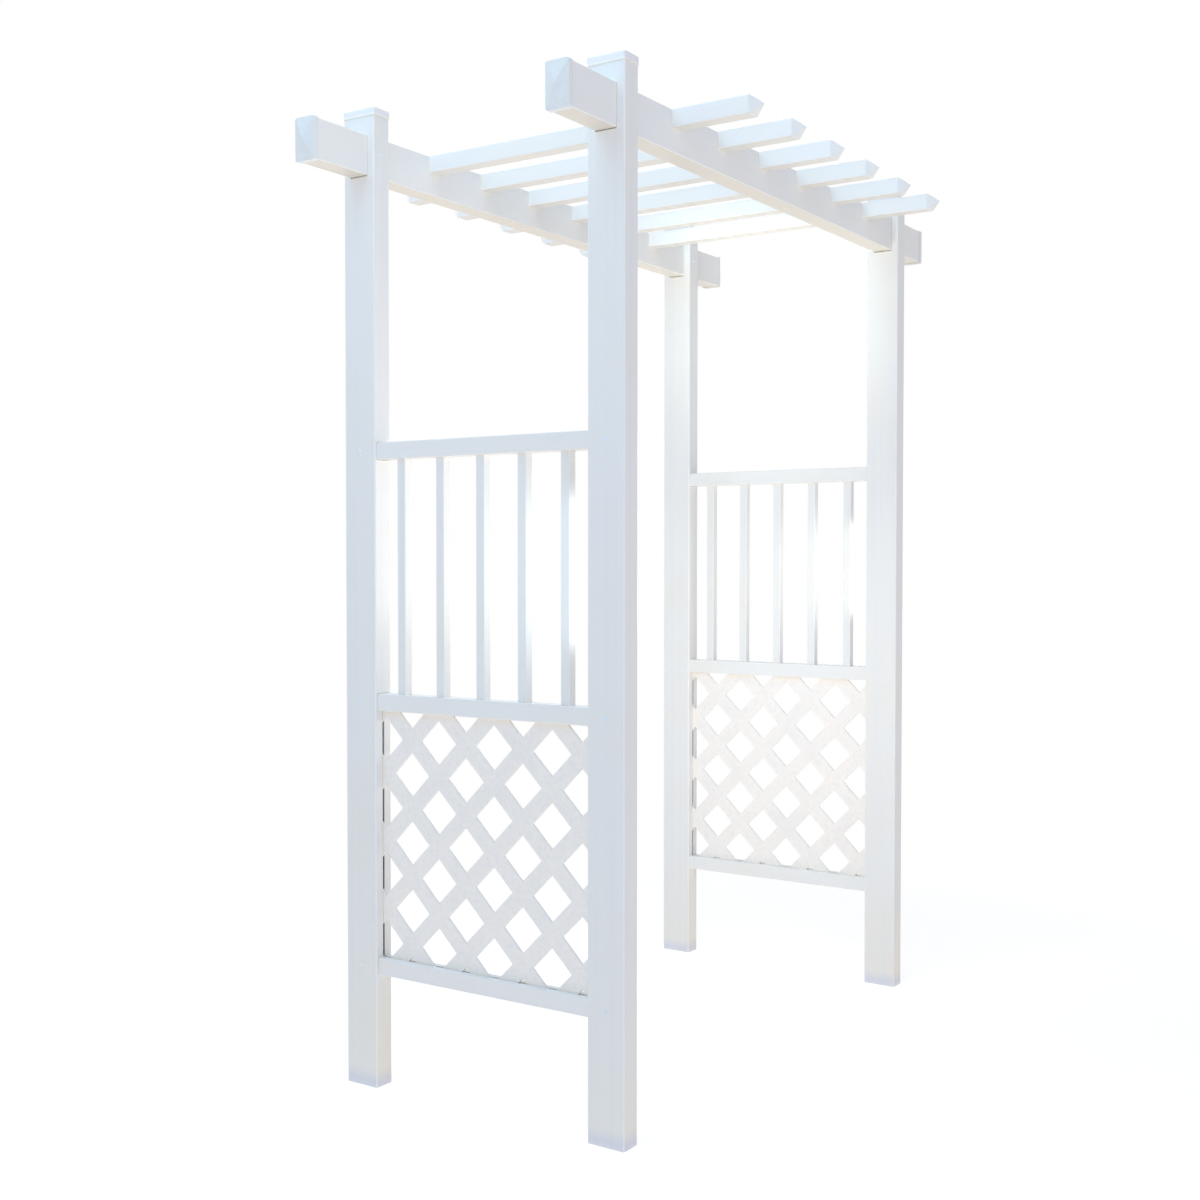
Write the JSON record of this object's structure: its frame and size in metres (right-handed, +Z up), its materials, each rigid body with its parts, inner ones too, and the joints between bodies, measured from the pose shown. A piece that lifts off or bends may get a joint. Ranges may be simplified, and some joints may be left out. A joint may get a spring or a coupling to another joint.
{
  "type": "garden arbor",
  "caption": "Free-standing white vinyl garden arbor: hollow posts, side panels with balusters over diamond lattice, and beams carrying pointed slats over a walkway",
  "frame": {"origin": "on the ground, in the middle of the arbor: the bottom centre of its bounding box", "axes": "+Z up; X across the walkway, along the beams; Y along the walkway, along the slats and side panels"},
  "size_m": [1.7856, 1.1188, 2.181],
  "materials": {
    "vinyl": "smooth extruded white vinyl, semi-gloss",
    "cap_vinyl": "moulded white vinyl, semi-gloss",
    "lattice_vinyl": "flat white vinyl sheet, satin",
    "screw": "white painted domed screw heads"
  },
  "bodies": {
    "root": {"post_near_right": "vinyl", "post_near_left": "vinyl", "post_far_right": "vinyl", "post_far_left": "vinyl", "post_cap_near_right": "cap_vinyl", "post_cap_near_left": "cap_vinyl", "post_cap_far_right": "cap_vinyl", "post_cap_far_left": "cap_vinyl", "beam_right": "vinyl", "beam_left": "vinyl", "beam_cap_near_right": "cap_vinyl", "beam_cap_near_left": "cap_vinyl", "beam_cap_far_right": "cap_vinyl", "beam_cap_far_left": "cap_vinyl", "slat_1": "vinyl", "slat_2": "vinyl", "slat_3": "vinyl", "slat_4": "vinyl", "slat_5": "vinyl", "slat_6": "vinyl", "slat_cap_right_1": "cap_vinyl", "slat_cap_right_2": "cap_vinyl", "slat_cap_right_3": "cap_vinyl", "slat_cap_right_4": "cap_vinyl", "slat_cap_right_5": "cap_vinyl", "slat_cap_right_6": "cap_vinyl", "slat_cap_left_1": "cap_vinyl", "slat_cap_left_2": "cap_vinyl", "slat_cap_left_3": "cap_vinyl", "slat_cap_left_4": "cap_vinyl", "slat_cap_left_5": "cap_vinyl", "slat_cap_left_6": "cap_vinyl", "top_rail_near": "vinyl", "mid_rail_near": "vinyl", "low_rail_near": "vinyl", "top_rail_far": "vinyl", "mid_rail_far": "vinyl", "low_rail_far": "vinyl", "baluster_near_1": "vinyl", "baluster_near_2": "vinyl", "baluster_near_3": "vinyl", "baluster_near_4": "vinyl", "baluster_near_5": "vinyl", "baluster_far_1": "vinyl", "baluster_far_2": "vinyl", "baluster_far_3": "vinyl", "baluster_far_4": "vinyl", "baluster_far_5": "vinyl", "lattice_near": "lattice_vinyl", "lattice_far": "lattice_vinyl", "rail_screws": "screw", "beam_screws": "screw"}
  },
  "joints": []
}
